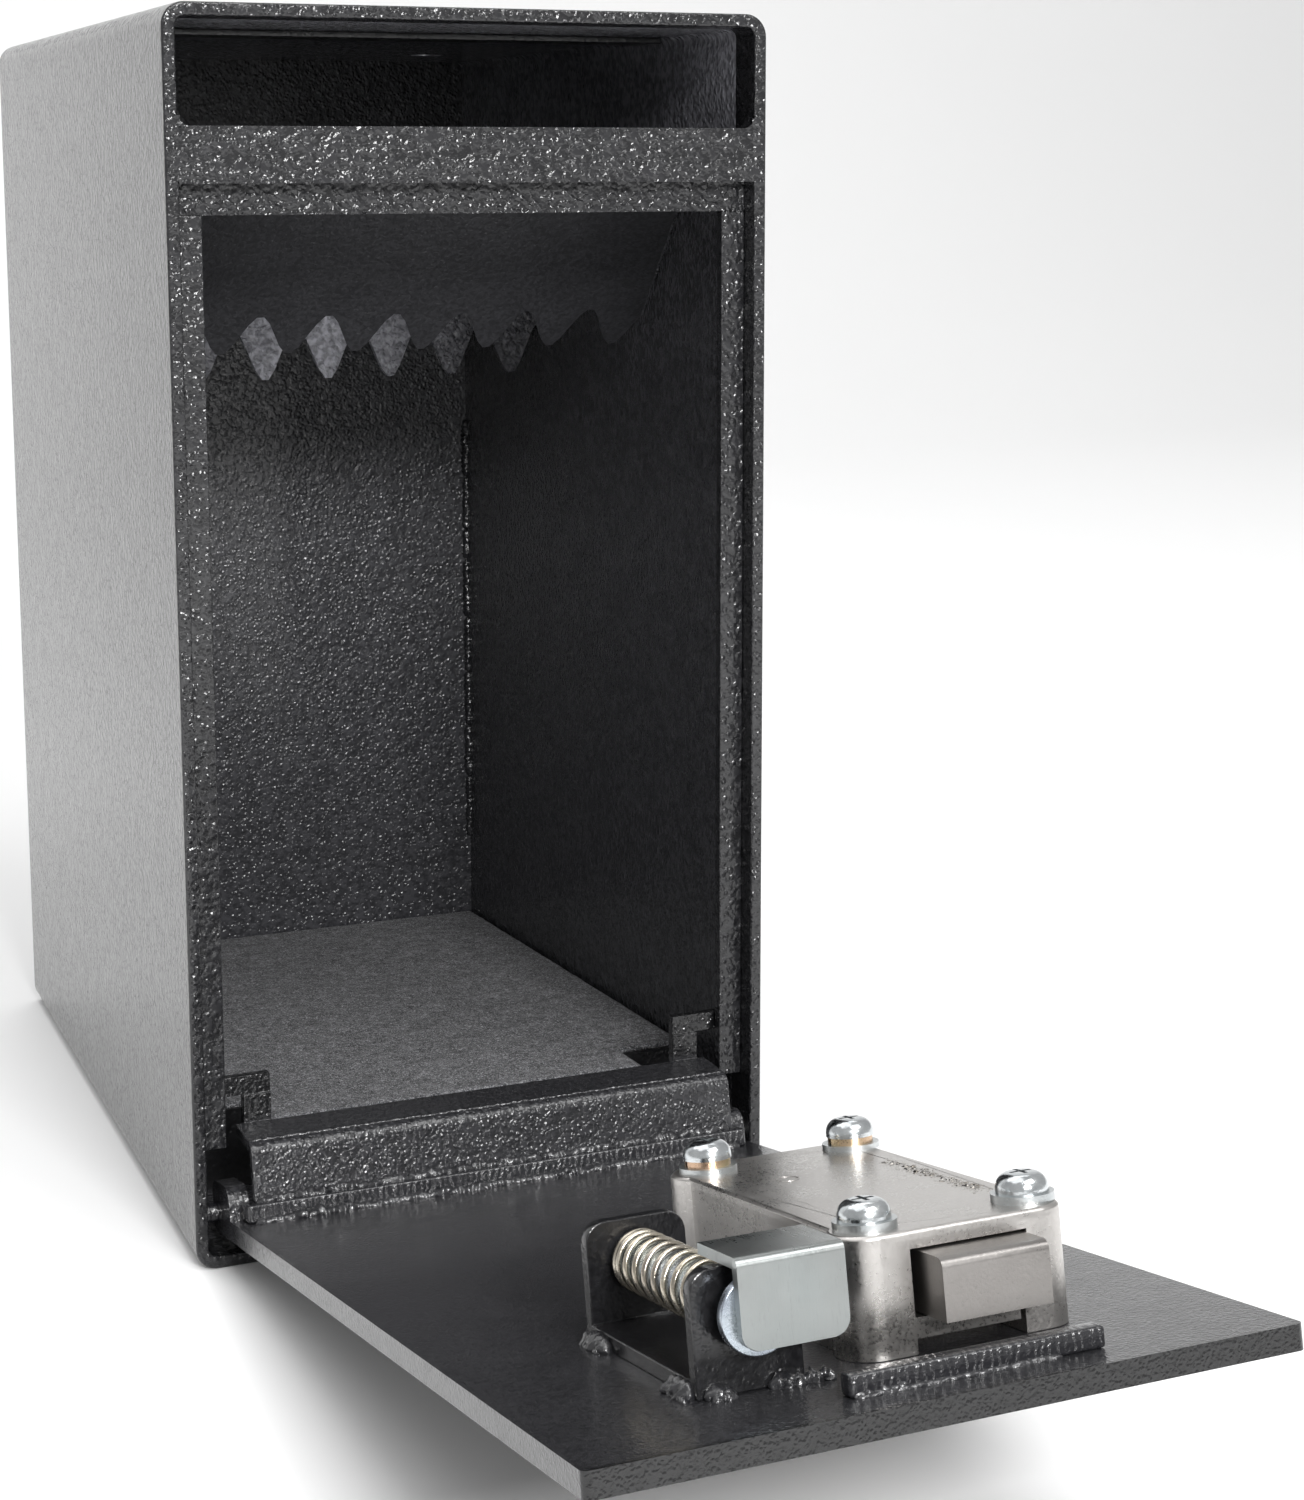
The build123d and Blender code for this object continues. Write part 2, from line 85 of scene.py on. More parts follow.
# ---------------------------------------------------------------- materials
class Nodes:
    """Small helper that builds a node material."""

    def __init__(self, name):
        self.mat = bpy.data.materials.new(name)
        self.mat.use_nodes = True
        self.tree = self.mat.node_tree
        self.bsdf = self.tree.nodes["Principled BSDF"]
        self.coord = self.tree.nodes.new("ShaderNodeTexCoord").outputs["Object"]

    def add(self, kind, **values):
        node = self.tree.nodes.new(kind)
        for key, value in values.items():
            setattr(node, key, value)
        return node

    def link(self, out, socket):
        self.tree.links.new(out, socket)

    def feed(self, value, socket):
        if isinstance(value, (int, float, tuple, Vector)):
            socket.default_value = value
        else:
            self.link(value, socket)

    def texture(self, kind, sockets, vector=None, **values):
        """A texture node at the given coordinates, its sockets set by name."""
        n = self.add(kind, **values)
        for key, value in sockets.items():
            n.inputs[key].default_value = value
        self.link(vector or self.coord, n.inputs["Vector"])
        return n.outputs

    def noise(self, scale, detail=3.0, rough=0.55, vector=None):
        sockets = {"Scale": scale, "Detail": detail, "Roughness": rough}
        return self.texture("ShaderNodeTexNoise", sockets, vector)["Fac"]

    def voronoi(self, scale, feature="SMOOTH_F1", smooth=0.6, vector=None):
        sockets = {"Scale": scale}
        if feature == "SMOOTH_F1":
            sockets["Smoothness"] = smooth
        return self.texture("ShaderNodeTexVoronoi", sockets, vector, feature=feature)["Distance"]

    def math(self, op, a, b=0.0):
        n = self.add("ShaderNodeMath", operation=op)
        self.feed(a, n.inputs[0])
        self.feed(b, n.inputs[1])
        return n.outputs[0]

    def vector(self, op, a, b):
        n = self.add("ShaderNodeVectorMath", operation=op)
        self.feed(a, n.inputs[0])
        self.feed(b, n.inputs[1])
        return n.outputs["Value" if op == "DOT_PRODUCT" else "Vector"]

    def scaled(self, vector, gain):
        """A vector or colour times a number; each is fixed or comes from a node."""
        n = self.add("ShaderNodeVectorMath", operation="SCALE")
        self.feed(vector, n.inputs[0])
        self.feed(gain, n.inputs["Scale"])
        return n.outputs["Vector"]

    def ramp(self, fac, stops):
        n = self.add("ShaderNodeValToRGB")
        self.link(fac, n.inputs["Fac"])
        while len(n.color_ramp.elements) < len(stops):
            n.color_ramp.elements.new(0.5)
        for el, (pos, col) in zip(n.color_ramp.elements, stops):
            el.position = pos
            el.color = (*col, 1.0)
        return n.outputs["Color"]

    def span(self, fac, lo, hi, a=0.0, b=1.0):
        n = self.add("ShaderNodeMapRange")
        n.inputs["From Min"].default_value = a
        n.inputs["From Max"].default_value = b
        n.inputs["To Min"].default_value = lo
        n.inputs["To Max"].default_value = hi
        self.link(fac, n.inputs["Value"])
        return n.outputs["Result"]

    def mix(self, fac, a, b):
        # sockets 6 and 7 and output 2 are the colour ones
        n = self.add("ShaderNodeMix", data_type="RGBA")
        self.link(fac, n.inputs["Factor"])
        for socket, value in ((n.inputs[6], a), (n.inputs[7], b)):
            self.feed((*value, 1.0) if isinstance(value, tuple) else value, socket)
        return n.outputs[2]

    def warped(self, scale, amount):
        """Object coordinates pushed about by a noise, so cells lose their grid."""
        swirl = self.texture("ShaderNodeTexNoise", {"Scale": scale})["Color"]
        return self.vector("ADD", self.coord, self.scaled(swirl, amount))

    def xyz(self):
        """X, Y and Z of the object coordinates."""
        n = self.add("ShaderNodeSeparateXYZ")
        self.link(self.coord, n.inputs[0])
        return [n.outputs[axis] for axis in "XYZ"]

    def along_door(self):
        """Distance along the open door from the pin, and height off it, in metres."""
        shift = self.vector("SUBTRACT", self.coord, tuple(pin))
        return (self.vector("DOT_PRODUCT", shift, tuple(door_out)),
                self.vector("DOT_PRODUCT", shift, tuple(door_up)))

    def box_side(self):
        """1 on the flat outer sides of the box, 0 elsewhere."""
        return self.math("GREATER_THAN", self.math("ABSOLUTE", self.xyz()[0]), side_face_x)

    def inside_box(self):
        """1 behind the door stops and within the walls, 0 outside."""
        x, y, z = self.xyz()
        within = self.math("LESS_THAN", self.math("ABSOLUTE", x), wall_mid_x)
        behind = self.math("GREATER_THAN", y, stops_rear_y)
        below = self.math("LESS_THAN", z, roof_mid_z)
        return self.math("MULTIPLY", within, self.math("MULTIPLY", behind, below))

    def bump(self, height, distance):
        n = self.add("ShaderNodeBump")
        n.inputs["Strength"].default_value = 1.0
        n.inputs["Distance"].default_value = distance
        self.link(height, n.inputs["Height"])
        return n.outputs["Normal"]

    def color(self, out):
        self.link(out, self.bsdf.inputs["Base Color"])

    def rough(self, out):
        self.link(out, self.bsdf.inputs["Roughness"])

    def normal(self, out):
        self.link(out, self.bsdf.inputs["Normal"])

    def set(self, **values):
        for key, value in values.items():
            self.bsdf.inputs[key.replace("_", " ")].default_value = value


def powder_coat(name, cell, depth, rough, tint=1.0, pits=0.0, gain=None, calm_sides=False):
    """Textured gloss powder coat: rounded pebbles run together over dark charcoal."""
    m = Nodes(name)
    warped = m.warped(cell * 0.5, 0.9 / cell)
    pebble = m.span(m.voronoi(cell, "SMOOTH_F1", 0.15, warped), 1.0, 0.0, 0.03, 0.50)
    worms = m.span(m.noise(cell * 0.8, 1.5, 0.5, warped), 0.0, 1.0, 0.38, 0.62)
    fine = m.noise(cell * 3.4, 2.0, 0.6)
    height = m.math("ADD", m.math("MULTIPLY", pebble, 0.62), m.math("MULTIPLY", worms, 0.34))
    height = m.math("ADD", height, m.math("MULTIPLY", fine, 0.08))
    if pits:
        pinholes = m.span(m.voronoi(260.0, "F1"), -pits, 0.0, 0.02, 0.09)
        height = m.math("ADD", height, pinholes)
    tone = m.math("ADD", m.math("MULTIPLY", m.noise(90.0, 4.0, 0.6), 0.5),
                  m.math("MULTIPLY", worms, 0.45))
    dark = tuple(tint * c for c in (0.0190, 0.0190, 0.0210))
    light = tuple(tint * c for c in (0.0360, 0.0360, 0.0395))
    shade = m.ramp(tone, [(0.25, dark), (0.75, light)])
    m.color(m.scaled(shade, gain(m)) if gain else shade)
    m.rough(m.span(m.noise(160.0, 3.0, 0.6), rough - 0.03, rough + 0.04, 0.3, 0.7))
    if calm_sides:
        height = m.math("MULTIPLY", height, m.span(m.box_side(), 1.0, 0.30))
    m.normal(m.bump(height, depth))
    m.set(Metallic=0.0, IOR=1.50, Coat_Weight=0.18, Coat_Roughness=0.10)
    return m.mat


def height_above(m, z):
    """1 above the given height in the box, 0 below."""
    return m.math("GREATER_THAN", m.xyz()[2], z)


def painted_light_inside(m):
    """Painted light inside the box, strongest in the slot, where the lamps reach little; outside
    the box the coat is toned down to 0.62.
    """
    inside = m.inside_box()
    slot = m.span(height_above(m, slot_low_z), 1.0, 4.6)
    return m.math("ADD", m.span(inside, 0.62, 0.0),
                  m.math("MULTIPLY", m.span(inside, 0.0, 2.1), slot))


def painted_light_flange(m):
    """Painted light on the toothed flange of the rear baffle, for light through the slot: much
    paler than its slope, most near mid-width.
    """
    flange_light_peak_x = -0.004
    aside = m.math("ABSOLUTE", m.math("ADD", m.xyz()[0], -flange_light_peak_x))
    # painted light on the flange, strongest near mid-width
    pale = m.span(aside, 21.0, 3.5, 0.006, 0.050)
    slope = height_above(m, flange_top_z)
    return m.math("ADD", m.math("MULTIPLY", pale, m.span(slope, 1.0, 0.0)),
                  m.span(slope, 0.0, 1.6))


def painted_shade_tabs(m):
    """Painted shade: the stop tabs above the strip's lip are darkened, as the door frame shades
    them.
    """
    return m.span(m.along_door()[1], 1.0, 0.30, 0.0205, 0.0225)


def painted_shade_far_edge(m):
    """Painted shade: the door's far edge is darkened."""
    return m.span(m.along_door()[0], 1.0, 0.2, 0.2490, 0.2505)


def glossy_bar():
    """Thin powder coat over a sawn bar: shiny, with ripples across its length."""
    m = Nodes("glossy_bar")
    ripples = m.texture(
        "ShaderNodeTexWave",
        {"Scale": 190.0, "Distortion": 7.0, "Detail": 3.0, "Detail Scale": 1.5,
         "Detail Roughness": 0.6},
        wave_type="BANDS", bands_direction="X")["Fac"]
    peel = m.noise(900.0, 3.0, 0.6)
    runs = m.noise(210.0, 3.0, 0.55)
    height = m.math("ADD", m.math("MULTIPLY", ripples, 0.5),
                    m.math("MULTIPLY", peel, 0.5))
    height = m.math("ADD", height, runs)
    m.color(m.ramp(m.noise(40.0, 3.0),
                   [(0.3, (0.009, 0.009, 0.011)), (0.7, (0.021, 0.021, 0.024))]))
    m.rough(m.span(runs, 0.13, 0.27))
    m.normal(m.bump(height, 0.00028))
    m.set(IOR=1.52, Coat_Weight=0.5, Coat_Roughness=0.08)
    return m.mat


def weld_coat():
    """Gloss coat pooled over weld metal: dark, wet looking, lightly pitted."""
    m = Nodes("weld_coat")
    lumps = m.noise(520.0, 4.0, 0.6)
    grain = m.noise(2300.0, 2.0, 0.6)
    height = m.math("ADD", lumps, m.math("MULTIPLY", grain, 0.3))
    m.color(m.ramp(m.noise(130.0, 4.0, 0.6),
                   [(0.3, (0.012, 0.012, 0.014)), (0.7, (0.034, 0.034, 0.037))]))
    m.rough(m.span(lumps, 0.12, 0.30))
    m.normal(m.bump(height, 0.00030))
    m.set(IOR=1.55, Coat_Weight=0.6, Coat_Roughness=0.06)
    return m.mat


def cast_nickel():
    """Nickel plated zinc casting: satin top, walls with dark streaks."""
    m = Nodes("nickel_casting")
    rise = m.along_door()[1]
    # walls carry streaks drawn up the casting, the top face stays smoother
    wall = m.span(rise, 1.0, 0.0, 0.0196, 0.0204)
    streak_at = m.vector("ADD", m.coord, m.scaled(tuple(-0.72 * door_up), rise))
    sand = m.noise(1500.0, 4.0, 0.62)
    streaks = m.noise(620.0, 4.0, 0.6, streak_at)
    swell = m.noise(120.0, 3.0, 0.5)
    top_height = m.math("ADD", m.math("MULTIPLY", sand, 0.10), m.math("MULTIPLY", swell, 0.6))
    wall_height = m.math("ADD", m.math("MULTIPLY", sand, 0.16), m.math("MULTIPLY", streaks, 0.16))
    height = m.math("ADD", top_height, m.math("MULTIPLY", wall_height, wall))
    patina = m.noise(55.0, 5.0, 0.65)
    base = m.ramp(patina, [(0.30, (0.50, 0.48, 0.46)), (0.52, (0.56, 0.54, 0.52)),
                           (0.75, (0.62, 0.60, 0.58))])
    smut = m.math("MULTIPLY", m.span(streaks, 0.0, 0.22, 0.60, 0.76), wall)
    m.color(m.mix(smut, base, (0.20, 0.175, 0.155)))
    gloss = m.math("ADD", m.span(patina, 0.24, 0.36, 0.3, 0.7), m.span(sand, -0.05, 0.08, 0.3, 0.7))
    m.rough(gloss)
    m.normal(m.bump(height, 0.00016))
    m.set(Metallic=1.0)
    return m.mat


def metal(name, dark, light, rough, grain=1800.0, depth=0.00003, patch=90.0, blush=None,
          stretch=None):
    """Plated metal: cloudy colour, fine grain, roughness that wanders; optional second tint."""
    m = Nodes(name)
    where = m.coord
    if stretch:
        where = m.vector("MULTIPLY", m.coord, stretch)
    cloud = m.noise(patch, 5.0, 0.62)
    fine = m.noise(grain, 3.0, 0.6, where)
    tone = m.ramp(cloud, [(0.32, dark), (0.68, light)])
    if blush:
        tone = m.mix(m.span(m.noise(patch * 0.6, 3.0), 0.0, 0.75, 0.45, 0.70), tone, blush)
    scratch = m.span(fine, 0.0, 0.25, 0.60, 0.72)
    m.color(m.mix(scratch, tone, tuple(0.55 * c for c in dark)))
    m.rough(m.math("ADD", m.span(cloud, rough - 0.05, rough + 0.07, 0.3, 0.7),
                   m.span(fine, -0.03, 0.05, 0.3, 0.7)))
    m.normal(m.bump(m.math("ADD", fine, m.math("MULTIPLY", cloud, 0.8)), depth))
    m.set(Metallic=1.0)
    return m.mat


def felt():
    """Grey heathered felt: light and dark fibres pressed together."""
    m = Nodes("felt")
    warped = m.warped(420.0, 0.0042)
    strands = m.noise(880.0, 3.0, 0.62, warped)
    hair = m.texture("ShaderNodeTexNoise",
                     {"Scale": 1050.0, "Detail": 2.0, "Distortion": 2.6})["Fac"]
    clump = m.noise(230.0, 3.0, 0.6, warped)
    tone = m.math("ADD", m.math("MULTIPLY", strands, 0.60), m.math("MULTIPLY", clump, 0.40))
    base = m.ramp(tone, [(0.36, (0.016, 0.016, 0.018)), (0.47, (0.040, 0.041, 0.044)),
                         (0.56, (0.100, 0.101, 0.107)), (0.66, (0.24, 0.24, 0.25))])
    pale = m.span(hair, 0.0, 0.9, 0.53, 0.64)
    m.color(m.mix(pale, base, (0.44, 0.44, 0.46)))
    m.rough(m.span(strands, 0.85, 1.0))
    height = m.math("ADD", m.math("MULTIPLY", clump, 1.2), hair)
    m.normal(m.bump(height, 0.00045))
    m.set(Sheen_Weight=0.12, Sheen_Roughness=0.5, IOR=1.35)
    return m.mat


def spring_wire():
    """Drawn spring wire: bright, faintly yellow, with draw lines along the wire."""
    return metal("spring_wire", (0.42, 0.37, 0.29), (0.74, 0.69, 0.58), 0.22, 1400.0, 0.00004,
                 160.0, (0.30, 0.27, 0.25))


looks = {
    # box_coat carries painted light inside the box and in the slot
    "box_coat": powder_coat("box_coat", 600.0, 0.00056, 0.16, 0.9, gain=painted_light_inside,
                            calm_sides=True),
    "inner_coat": powder_coat("inner_coat", 600.0, 0.00040, 0.19, 0.6),
    "tray_coat": powder_coat("tray_coat", 900.0, 0.00016, 0.30, 0.35),
    "rear_coat": powder_coat("rear_coat", 700.0, 0.00036, 0.24, 1.75),
    "front_baffle_coat": powder_coat("front_baffle_coat", 1000.0, 0.00012, 0.40, 1.1),
    # rear_baffle_coat carries painted light on its toothed flange
    "rear_baffle_coat": powder_coat("rear_baffle_coat", 640.0, 0.00085, 0.24, gain=painted_light_flange),
    # door_coat carries painted shade on the door's far edge
    "door_coat": powder_coat("door_coat", 1100.0, 0.00009, 0.21, 0.85, pits=0.4,
                             gain=painted_shade_far_edge),
    "bracket_coat": powder_coat("bracket_coat", 1000.0, 0.00005, 0.20, 0.45),
    # strip_coat carries painted shade on the stop tabs
    "strip_coat": powder_coat("strip_coat", 820.0, 0.00034, 0.18, 0.95, gain=painted_shade_tabs),
    "cast_skin": metal("cast_skin", (0.50, 0.47, 0.43), (0.78, 0.76, 0.73), 0.20, 900.0, 0.00008,
                       420.0, (0.32, 0.27, 0.21)),
    "glossy_bar": glossy_bar(),
    "weld_coat": weld_coat(),
    "nickel_casting": cast_nickel(),
    "nickel_bolt": metal("nickel_bolt", (0.295, 0.28, 0.268), (0.335, 0.32, 0.308), 0.33, 1500.0,
                         0.00003, 60.0),
    "brass_nose": metal("brass_nose", (0.42, 0.31, 0.15), (0.66, 0.52, 0.28), 0.30, 1300.0,
                        0.00005, 110.0, (0.24, 0.18, 0.11)),
    "zinc_screw": metal("zinc_screw", (0.52, 0.55, 0.57), (0.74, 0.77, 0.78), 0.17, 1700.0,
                        0.00003, 210.0),
    "zinc_washer": metal("zinc_washer", (0.50, 0.53, 0.54), (0.68, 0.70, 0.70), 0.32, 2100.0,
                         0.00004, 180.0),
    "yellow_zinc": metal("yellow_zinc", (0.50, 0.33, 0.22), (0.74, 0.53, 0.38), 0.26, 2000.0,
                         0.00004, 170.0, (0.58, 0.52, 0.30)),
    "zinc_rod": metal("zinc_rod", (0.42, 0.47, 0.50), (0.60, 0.66, 0.70), 0.25, 1900.0, 0.00003,
                      120.0, (0.36, 0.40, 0.50)),
    "zinc_sheet": metal("zinc_sheet", (0.32, 0.333, 0.328), (0.365, 0.378, 0.373), 0.30, 2400.0,
                        0.00002, 46.0, (0.32, 0.36, 0.36), (1.0, 0.12, 0.12)),
    "spring_wire": spring_wire(),
    "felt": felt(),
}

# which look each carried-over CAD node wears
node_looks = {
    "body_wrap": "box_coat", "rear_panel": "rear_coat", "header_bar": "box_coat",
    "header_stop": "box_coat", "left_jamb_stop": "inner_coat", "right_jamb_stop": "inner_coat",
    "front_baffle": "front_baffle_coat", "rear_baffle": "rear_baffle_coat", "slot_lip": "tray_coat",
    "floor_tray": "tray_coat", "left_hinge_pin": "glossy_bar", "right_hinge_pin": "glossy_bar",
    "door_plate": "door_coat", "hinge_bar": "glossy_bar", "hook_strip": "strip_coat",
    "left_hinge_lug": "strip_coat", "right_hinge_lug": "strip_coat",
    "lock_case": "nickel_casting", "key_nose": "brass_nose", "lock_screws": "zinc_screw",
    "split_washers": "yellow_zinc", "flat_washers": "zinc_washer", "lock_bar": "glossy_bar",
    "plunger_bracket": "bracket_coat", "dead_bolt": "nickel_bolt", "key_plug": "brass_nose",
    "plunger_rod": "zinc_rod", "plunger_collar": "zinc_rod", "plunger_plate": "zinc_sheet",
}
# plates whose cut or folded edges are broken by a small radius, in millimetres
edge_radius = {
    "body_wrap": 0.5, "rear_panel": 0.3, "header_bar": 0.4, "header_stop": 0.4,
    "left_jamb_stop": 0.35, "right_jamb_stop": 0.35, "front_baffle": 0.4, "rear_baffle": 0.4,
    "slot_lip": 0.4, "door_plate": 0.7, "hinge_bar": 0.6, "hook_strip": 0.5,
    "left_hinge_lug": 0.5, "right_hinge_lug": 0.5, "lock_case": 0.45, "lock_bar": 0.7,
    "plunger_bracket": 0.3, "dead_bolt": 0.35, "plunger_plate": 0.35, "plunger_collar": 0.3,
}


def soften(obj, radius, evened):
    """Round the edges of a plate with modifiers, leaving its mesh as it came."""
    weld = obj.modifiers.new("weld", "WELD")
    weld.merge_threshold = 0.00001
    bevel = obj.modifiers.new("edge", "BEVEL")
    bevel.width = radius * MM
    bevel.segments = 2
    bevel.limit_method = "ANGLE"
    bevel.angle_limit = math.radians(32)
    if evened:
        shade = obj.modifiers.new("shade", "WEIGHTED_NORMAL")
        shade.mode = "FACE_AREA_WITH_ANGLE"
        shade.weight = 100


for name, obj in nodes.items():
    look = node_looks.get(name)
    if look is None:
        continue
    obj.data.materials.clear()
    obj.data.materials.append(looks[look])
    if name in edge_radius:
        soften(obj, edge_radius[name], name != "plunger_bracket")


# ---------------------------------------------------------------- new pieces
def add_piece(name, verts, faces, look, body, slot, smooth=True):
    mesh = bpy.data.meshes.new(name)
    mesh.from_pydata([tuple(v) for v in verts], [], faces)
    mesh.validate()
    for p in mesh.polygons:
        p.use_smooth = smooth
    obj = bpy.data.objects.new(name, mesh)
    bpy.context.collection.objects.link(obj)
    mesh.materials.append(looks[look])
    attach(obj, body)
    return obj


def ring_tube(rings, verts, faces):
    """Join rings of points into a closed tube with capped ends."""
    base, sides = len(verts), len(rings[0])
    for ring in rings:
        verts.extend(ring)
    for i in range(len(rings) - 1):
        for j in range(sides):
            a = base + i * sides + j
            b = base + i * sides + (j + 1) % sides
            faces.append((a, b, b + sides, a + sides))
    faces.append(tuple(base + j for j in reversed(range(sides))))
    last = base + (len(rings) - 1) * sides
    faces.append(tuple(last + j for j in range(sides)))


def bead_rings(start, end, up, radius, ripple, lump, seed):
    """Weld bead from start to end: overlapping puddles, lumps and tapered ends."""
    axis = end - start
    length = axis.length
    axis.normalize()
    side = axis.cross(up).normalized()
    up = side.cross(axis)
    count = max(10, int(length / (0.32 * MM)))
    sides = 14
    rings = []
    for i in range(count + 1):
        t = i / count
        reach = min(t, 1 - t) * length / (1.5 * radius)
        taper = math.sqrt(max(0.02, 1 - (1 - min(1.0, reach)) ** 2))
        wander = 0.22 * radius * noise.noise(Vector((t * length / (3 * MM), seed, 0.3)))
        ring = []
        for j in range(sides):
            a = 2 * math.pi * j / sides
            crest = max(0.0, math.sin(a))
            phase = (t * length + 0.9 * radius * crest) / (1.5 * MM)
            wave = ripple * (phase - math.floor(phase))
            spot = Vector((t * length / (1.4 * MM), 1.3 * math.cos(a) + seed, 1.3 * math.sin(a)))
            r = radius * taper * (1 + wave + lump * noise.noise(spot))
            ring.append(start + axis * (t * length) + side * (r * math.cos(a) + wander)
                        + up * r * math.sin(a))
        rings.append(ring)
    return rings


def bead_mesh(runs, first_seed, seed_step):
    """Beads from runs of (start, end, outward, radius, ripple, lump), each with its own seed."""
    verts, faces = [], []
    for k, (start, end, out, radius, ripple, lump) in enumerate(runs):
        seed = seed_step * k + first_seed
        ring_tube(bead_rings(start, end, out, radius * MM, ripple, lump, seed), verts, faces)
    return verts, faces


def weld_piece(name, node, body, runs):
    """One piece of weld metal in place of a CAD node."""
    verts, faces = bead_mesh(runs, 1.1, 7.3)
    obj = add_piece(name, verts, faces, "weld_coat", body, "powder_coat")
    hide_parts(node)


def door_run(a, b, radius, ripple=0.25, lump=0.45, lean=1.0):
    """A bead run between two door points (x, h, s); lean tips its crest outward."""
    out = (door_up + lean * door_out).normalized()
    return (on_door(*a), on_door(*b), out, radius, ripple, lump)


def weld_strip():
    """Long bead at the foot of the hook strip, laid in short pulls."""
    bar_tall, strip_face = 4.5, 16.5
    runs, x = [], -62.6
    while x < 60.0:
        step = min(random.uniform(7.0, 13.0), 62.4 - x)
        r = random.uniform(1.15, 1.50)
        runs.append(door_run((x - 0.7, bar_tall + 0.15, strip_face + 0.15),
                             (x + step, bar_tall + 0.15, strip_face + 0.15), r, 0.22, 0.6))
        x += step
    weld_piece("strip_bead_run", "strip_bead", "door", runs)


def run_paint():
    """Paint gathered in a ridge along the strip's lip, and down the front baffle's side joints."""
    half, lip_h, lip_s = 62.9, 18.86, 14.0
    ridge = door_run((-half, lip_h, lip_s), (half, lip_h, lip_s), 0.30, 0.5, 0.9)
    add_piece("lip_ridge", *bead_mesh([ridge], 5.2, 0.0), "weld_coat", "door", "powder_coat")

    front_y = -114.3
    slope_ends = ((34.0, 271.9), (72.5, 226.4))    # depth behind the front, height
    lean_y, lean_z = -0.763, -0.646
    runs = []
    for x in (-72.72, 72.72):
        a, b = [Vector((x * MM, (front_y + d) * MM, z * MM)) for d, z in slope_ends]
        out = Vector((-x, lean_y * abs(x), lean_z * abs(x))).normalized()
        runs.append((a, b, out, 0.26, 0.2, 0.5))
    add_piece("baffle_edge_runs", *bead_mesh(runs, 0.0, 3.0), "rear_baffle_coat", "box",
              "powder_coat")


def weld_hinge_bar():
    """Stitch beads at the hinge bar, with heavier craters where the arc was broken."""
    bar_far = 19.3
    runs = []
    for a, b in ((-64.5, -53.5), (-41.0, -17.5), (-6.5, 14.5), (25.0, 64.0)):
        runs.append(door_run((a, 0.15, bar_far + 0.2), (b, 0.15, bar_far + 0.2), 1.15, 0.28, 0.35))
    for a, b in ((-54.5, -40.0), (-18.5, -5.5), (13.5, 26.0)):
        runs.append(door_run((a, 0.25, bar_far + 0.3), (b, 0.1, bar_far + 0.4), 1.45, 0.10, 0.7))
        runs.append(door_run((a - 1.0, 0.5, bar_far + 0.6), (a + 3.6, 0.4, bar_far + 0.8),
                             1.5, 0.05, 0.8))
        runs.append(door_run((b - 3.8, 0.3, bar_far + 0.6), (b + 0.6, 0.4, bar_far + 0.5),
                             1.3, 0.05, 0.8))
    weld_piece("bar_weld_runs", "bar_welds", "door", runs)


def weld_bracket():
    """Tacks at the feet of the plunger bracket."""
    left, rear, far = -38.5, 174.5, 226.6
    runs = []
    for s0, s1 in ((rear + 2.0, rear + 13.0), (far - 11.0, far - 1.0)):
        runs.append(door_run((left - 0.6, 0.3, s0), (left - 0.9, 0.3, s1), 1.9, 0.2, 0.7))
        for k in range(7):
            s = random.uniform(s0, s1)
            reach = random.uniform(0.8, 2.6)
            runs.append(door_run((left - 0.4, 0.2, s), (left - 0.6 - reach, 0.1, s + 1.8),
                                 random.uniform(0.8, 1.3), 0.05, 0.9))
    for x0, x1 in ((-37.5, -31.5), (-25.5, -13.0)):
        runs.append(door_run((x0, 0.4, far + 0.6), (x1, 0.3, far + 0.7), 1.5, 0.25, 0.7))
        for k in range(4):
            x = random.uniform(x0, x1 - 2.0)
            runs.append(door_run((x, 0.3, far + 1.2), (x + 2.2, 0.2, far + 2.4),
                                 random.uniform(0.9, 1.4), 0.05, 0.9))
    weld_piece("bracket_weld_tacks", "bracket_welds", "door", runs)


def weld_lock_bar():
    """Thin bead in front of the lock bar, heavy at its left end."""
    low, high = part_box("lock_bar")
    x0, x1 = low[0] / MM, high[0] / MM
    edge = 242.3
    runs = [door_run((x0 + 1.0, 0.0, edge), (x1 - 9.0, 0.0, edge), 0.70, 0.14, 0.4)]
    for k in range(6):
        x = x0 + 0.6 + 1.6 * k
        runs.append(door_run((x, 0.4, edge - 0.3), (x + 2.6, 0.3, edge - 0.2),
                             random.uniform(0.7, 0.95), 0.05, 0.7))
    weld_piece("lock_bar_bead", "lock_bar_weld", "door", runs)


def weld_corners():
    """Seams up the rear corners."""
    low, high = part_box("corner_welds")
    runs = []
    for side, x in ((1, low[0]), (-1, high[0])):
        corner = Vector((x, high[1], 0.0))
        inward = Vector((side, -1.0, 0.0)).normalized()
        z = low[2] + 0.5 * MM
        while z < high[2] - 6 * MM:
            step = min(random.uniform(9, 24) * MM, high[2] - z)
            a = corner + inward * 0.35 * MM + Vector((0, 0, z))
            b = corner + inward * 0.35 * MM + Vector((0, 0, z + step))
            runs.append((a, b, inward, random.uniform(1.0, 1.3), 0.35, 0.5))
            z += step
    weld_piece("corner_seams", "corner_welds", "box", runs)


def make_welds():
    random.seed(41)
    for step in (weld_strip, run_paint, weld_hinge_bar, weld_bracket, weld_lock_bar, weld_corners):
        step()


